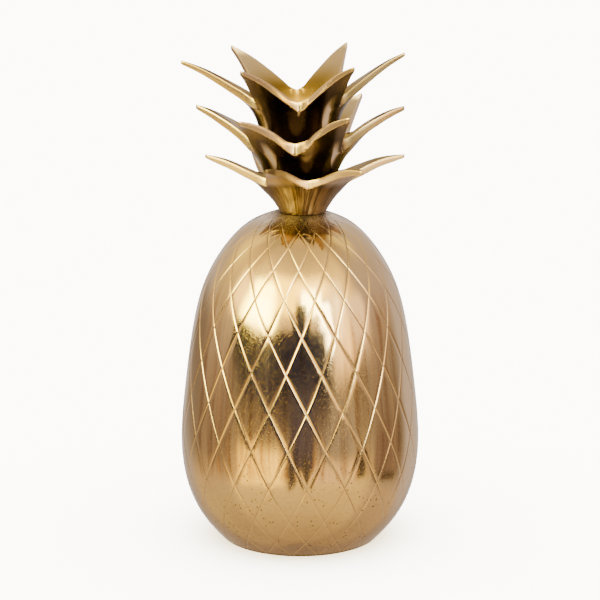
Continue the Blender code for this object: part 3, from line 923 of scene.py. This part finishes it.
middle_half_width = leaf_half_width(0.5, 28.0 * MM, 34.0 * MM)
print("half width of a leaf at its middle:", round(float(middle_half_width) / MM, 1), "mm")

# %% [markdown]
# Both skins of a cup are grids of rings: first the turned wall, then the leaf. The rings lie closest at
# the notch and at the tip, where the outline bends most. A skin can stop some way inside the leaf's
# outline, which leaves room for a rounded cut edge.

# %% One skin of one leaf
COLUMNS = 24
WALL_RINGS = 16
LEAF_RINGS = 34
LOBE = 0.22 * MM
LOBE_END = 0.3
EDGE_START = 0.06
CURVE_STEPS = 1500
NARROWEST = 0.3
CORNER_POWER = 8

wall_parts = np.linspace(0.0, 1.0, WALL_RINGS + 1)[:-1]
leaf_parts = 0.5 * (1.0 - np.cos(np.linspace(0.0, math.pi, LEAF_RINGS)))
column_parts = np.linspace(-1.0, 1.0, COLUMNS + 1)


def side_view(cup, stations, heights):
    """The line from foot to tip: points of the wall, and heights of the leaf at leaf_parts."""
    notch_radius = stations[-1][0]
    mean_length = np.mean([leaf[0] for leaf in cup["leaves"]]) - notch_radius
    steps = len(heights) - 1
    outer = [(notch_radius + mean_length * k / steps, heights[k]) for k in range(1, steps + 1)]
    way = lengths_along(stations + outer)
    notch = way[len(stations) - 1] / way[-1]
    wall = curve_through(stations + outer, notch * wall_parts)
    radius, height = curve_through(stations + outer, np.linspace(notch, 1.0, CURVE_STEPS)).T
    return wall * MM, np.interp(leaf_parts, (radius - notch_radius) / mean_length, height) * MM


def leaf_rings(cup, number, heights, inset=0.0):
    """Rings of one leaf from notch to tip: radius, angle and height, inset from its outline."""
    reach, own_turn, lift = cup["leaves"][number]
    notch_radius = cup["outside"][-1][0] * MM
    leaf_length = reach * MM - notch_radius
    part = leaf_parts[:, None]
    column = column_parts[None, :]
    radius = notch_radius + leaf_length * part
    half_width = leaf_half_width(part, notch_radius, leaf_length)
    at_notch = 1.0 - smooth_step(part / EDGE_START)
    at_tip = tip_arc(part, leaf_length)
    inner_width = np.maximum(half_width - inset * (1.0 - at_notch), NARROWEST * half_width)
    half_angle = np.arcsin(inner_width / radius)
    angle = math.radians(cup["turn"] + LEAF_PITCH * number) + math.radians(own_turn) * part
    angle = angle + half_angle * column
    radius = radius - inset * (at_notch * abs(column) ** CORNER_POWER + at_tip)
    lobe = LOBE * (1.0 - smooth_step(part / LOBE_END)) * np.cos(math.pi * column)
    height = heights[:, None] + lift * MM * part ** 2
    return radius + lobe, angle, height + 0.0 * column


def wall_rings(cup, number, wall):
    """Rings of the turned wall below one leaf, from the foot to just below the notches."""
    column = column_parts[None, :]
    angle = math.radians(cup["turn"] + LEAF_PITCH * number) + math.radians(LEAF_PITCH / 2) * column
    lobe = LOBE * smooth_step(wall_parts)[:, None] ** 2 * np.cos(math.pi * column)
    return wall[:, :1] + lobe, angle + 0.0 * wall[:, :1], wall[:, 1:] + 0.0 * column


print("rings of a skin:", WALL_RINGS, "in the wall and", LEAF_RINGS, "in the leaf")

# %% [markdown]
# The cut edge joins the two skins. A file has rounded it, more on its upper side, so its profile is a
# list of places on the way up and insets there. Every leaf's edges lean inwards by degrees of their
# own, but at the notches all lean alike, or neighbours wouldn't meet.

# %% The profile of the cut edge
EDGE_PROFILE = [
    (0.0, 0.24), (0.04, 0.07), (0.09, 0.0), (0.14, 0.0), (0.56, 0.0), (0.64, 0.005),
    (0.74, 0.035), (0.86, 0.11), (0.94, 0.20), (0.98, 0.30), (1.0, 0.44),
]
EDGE_TILTS = [(2.0, 2.0), (12.0, 4.0), (3.0, 10.0), (2.0, 1.0), (3.0, 7.0), (19.0, 2.0)]
EDGE_TILT_END = 0.7
NOTCH_TILT = 8.0
NOTCH_TILT_END = 0.12


def edge_inset(number, lines, share, inset):
    """How far inside the leaf's outline a row of its cut edge lies, by ring and column."""
    right, left = EDGE_TILTS[number]
    tilt = right + (left - right) * (column_parts + 1.0) / 2.0
    settle = smooth_step(leaf_parts / NOTCH_TILT_END)[:, None]
    tilt = NOTCH_TILT + (tilt[None, :] - NOTCH_TILT) * settle
    fade = 1.0 - smooth_step(leaf_parts / EDGE_TILT_END)
    return inset * MM + share * (fade * (lines[1] - lines[0]))[:, None] * np.tan(np.radians(tilt))


print("rows of the cut edge:", len(EDGE_PROFILE))

# %% [markdown]
# Each cup is leant over: shifted sideways more and more with height, with its rim tipped to match. Its
# grids of points are gathered as strips of faces, with the values of their points.

# %% Leaning a cup and gathering its strips
def leant(cup, radius, angle, height):
    """Points of the cup as it stands, a little askew."""
    foot = cup["outside"][0][1] * MM
    notch = cup["outside"][-1][1] * MM
    side = math.tan(math.radians(cup["lean_side"]))
    back = math.tan(math.radians(cup["lean_back"]))
    x, y = radius * np.cos(angle), radius * np.sin(angle)
    rise = height - foot
    lift = smooth_step(rise / (notch - foot)) * (x * side - y * back)
    return np.stack([x - rise * side + cup["offset"] * MM, y + rise * back, height + lift], axis=-1)


class Strips:
    """Gathers grids of points as faces, with the values of their points."""

    def __init__(self):
        self.points, self.faces = [], []
        self.values = {"grime": [], "ground": [], "inner": [], "polished": []}

    def add(self, grid, **values):
        rows, columns = grid.shape[:2]
        start = len(self.points)
        self.points += grid.reshape(-1, 3).tolist()
        for name, numbers in self.values.items():
            numbers += np.broadcast_to(values.get(name, 0.0), (rows, columns)).ravel().tolist()
        index = start + np.arange(rows * columns).reshape(rows, columns)
        quads = np.stack([index[:-1, :-1], index[:-1, 1:], index[1:, 1:], index[1:, :-1]], -1)
        self.faces += quads.reshape(-1, 4).tolist()


def round_the_leaf(grid):
    """The border of a leaf's grid: up one side, round the tip and down the other."""
    return np.concatenate([grid[:-1, -1], grid[-1, ::-1], grid[:-1, 0][::-1]])


# %% [markdown]
# Outside, painted shade darkens each cup down in the crown and thins out towards its tips, with more
# of it in front, and by some of the notches a painted highlight lightens the metal. Inside, painted
# shade darkens and dulls the middle of each leaf's wall, and the metal by the notches is left light.

# %% Painted shade and painted highlights of a skin
OUTSIDE, INSIDE = 0, 1
FRONT_HALF_WIDTH = 34.0
HIGHLIGHT_HALF_WIDTH = 7.0
HIGHLIGHT_FROM, HIGHLIGHT_OVER, HIGHLIGHT_END = 0.55, 0.35, 0.32
INNER_MIDDLE, INNER_NOTCH = 1.5, 0.2


def away_from(direction, facing):
    """Degrees between a direction and where points face, from -180 to 180."""
    return (facing - direction + 180.0) % 360.0 - 180.0


def highlight_spots(cup, facing):
    """How much painted highlight lies on the outer skin, by ring and column."""
    up_the_wall = smooth_step((wall_parts - HIGHLIGHT_FROM) / HIGHLIGHT_OVER)
    up_the_leaf = 1.0 - smooth_step(leaf_parts / HIGHLIGHT_END)
    spots = np.zeros(COLUMNS + 1)
    for spot in cup["polished"]:
        spots += np.exp(-(away_from(spot, facing) / HIGHLIGHT_HALF_WIDTH) ** 4)
    return np.concatenate([up_the_wall, up_the_leaf])[:, None] * spots


def shading(cup, side, number):
    """Painted shade and painted highlights of a skin, for its rings from foot to tip and its columns."""
    foot, notch, tip = cup["shade"][side]
    facing = away_from(FRONT, cup["turn"] + LEAF_PITCH * (number + 0.5 * column_parts))
    if side == OUTSIDE and abs(facing[COLUMNS // 2]) < LEAF_PITCH:
        tip = cup["front_tip"]
    wall = foot + (notch - foot) * smooth_step(wall_parts)
    leaf = notch + (tip - notch) * smooth_step(leaf_parts / cup["fade"])
    grime = np.concatenate([wall, leaf])[:, None]
    # The first ring, at the foot of the cup, is fully dark: painted shade in the seam.
    grime[0] = 1.0
    if side == INSIDE:
        # Inside, the painted shade is strongest in the middle of each leaf.
        across = INNER_MIDDLE + (INNER_NOTCH - INNER_MIDDLE) * column_parts ** 2
        return np.minimum(grime * across, 1.0), 0.0
    # Outside, painted highlights by some notches take the painted shade away.
    highlight = highlight_spots(cup, facing)
    # The front gets more painted shade.
    in_front = cup["front"] * np.exp(-(facing / FRONT_HALF_WIDTH) ** 2)
    return np.minimum(grime + in_front, 1.0) * (1.0 - highlight), highlight


# %% [markdown]
# The cut edge is paler than the skins, apart from a few places by some notches, which are darkened
# with painted shade. With it a cup is complete: two skins for each leaf, closed by a middle point at
# the foot, and the edge between them. Merged, they are one closed skin like a real casting.

# %% Whole cups
EDGE_PAINTED_SHADE = 0.8
SHADED_EDGE_HALF_WIDTH = 18.0
INSIDE_REFLECTION_AT_TIP, INSIDE_REFLECTION_END = 0.5, 0.5


def cut_edge(cup, number, lines):
    """Rows of the cut edge, from the under side of a leaf to its upper side, and their painted shade."""
    rows = []
    for share, inset in EDGE_PROFILE:
        height = lines[0] + (lines[1] - lines[0]) * share
        rings = leaf_rings(cup, number, height, edge_inset(number, lines, share, inset))
        rows.append(round_the_leaf(leant(cup, *rings)))
    edge = np.stack(rows)
    facing = np.degrees(np.arctan2(edge[..., 1], edge[..., 0])) - FRONT
    grime = np.zeros_like(facing)
    # Painted shade on the edges by the listed notches.
    for dull in cup["shaded_edge"]:
        grime += EDGE_PAINTED_SHADE * np.exp(-(away_from(dull, facing) / SHADED_EDGE_HALF_WIDTH) ** 2)
    return edge, grime


def make_cup(name, cup):
    strips = Strips()
    outer = side_view(cup, cup["outside"], cup["leaf_under"])
    inner = side_view(cup, cup["inside"], cup["leaf_top"])
    lines = [leaf_line for _, leaf_line in (outer, inner)]
    # Inside, a painted reflection: a warmer gold for light bounced between the leaves, less of it at the
    # tips.
    up_the_leaf = 1.0 - (1.0 - INSIDE_REFLECTION_AT_TIP) * smooth_step(leaf_parts / INSIDE_REFLECTION_END)
    inside_reflection = np.concatenate([np.ones(WALL_RINGS), up_the_leaf])[:, None]
    for number in range(LEAVES):
        for side, (wall_line, leaf_line) in enumerate((outer, inner)):
            inset = edge_inset(number, lines, *EDGE_PROFILE[0 if side == OUTSIDE else -1])
            wall = leant(cup, *wall_rings(cup, number, wall_line))
            leaf = leant(cup, *leaf_rings(cup, number, leaf_line, inset))
            grime, highlight = shading(cup, side, number)
            strips.add(np.concatenate([wall, leaf]), grime=grime, inner=side * inside_reflection, polished=highlight)
            middle = leant(cup, *(np.array([v]) for v in (0.0, 0.0, wall_line[0, 1])))
            middle = np.broadcast_to(middle, (1, COLUMNS + 1, 3))
            strips.add(np.concatenate([middle, wall[:1]]), grime=cup["shade"][side][0])
        edge, edge_grime = cut_edge(cup, number, lines)
        strips.add(edge, grime=edge_grime, ground=1.0)
    piece = link_mesh(name, strips.points, strips.faces, cup["gold"], strips.values)
    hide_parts(cup["node"])


for cup_name, cup_sizes in CUPS.items():
    make_cup(cup_name, cup_sizes)
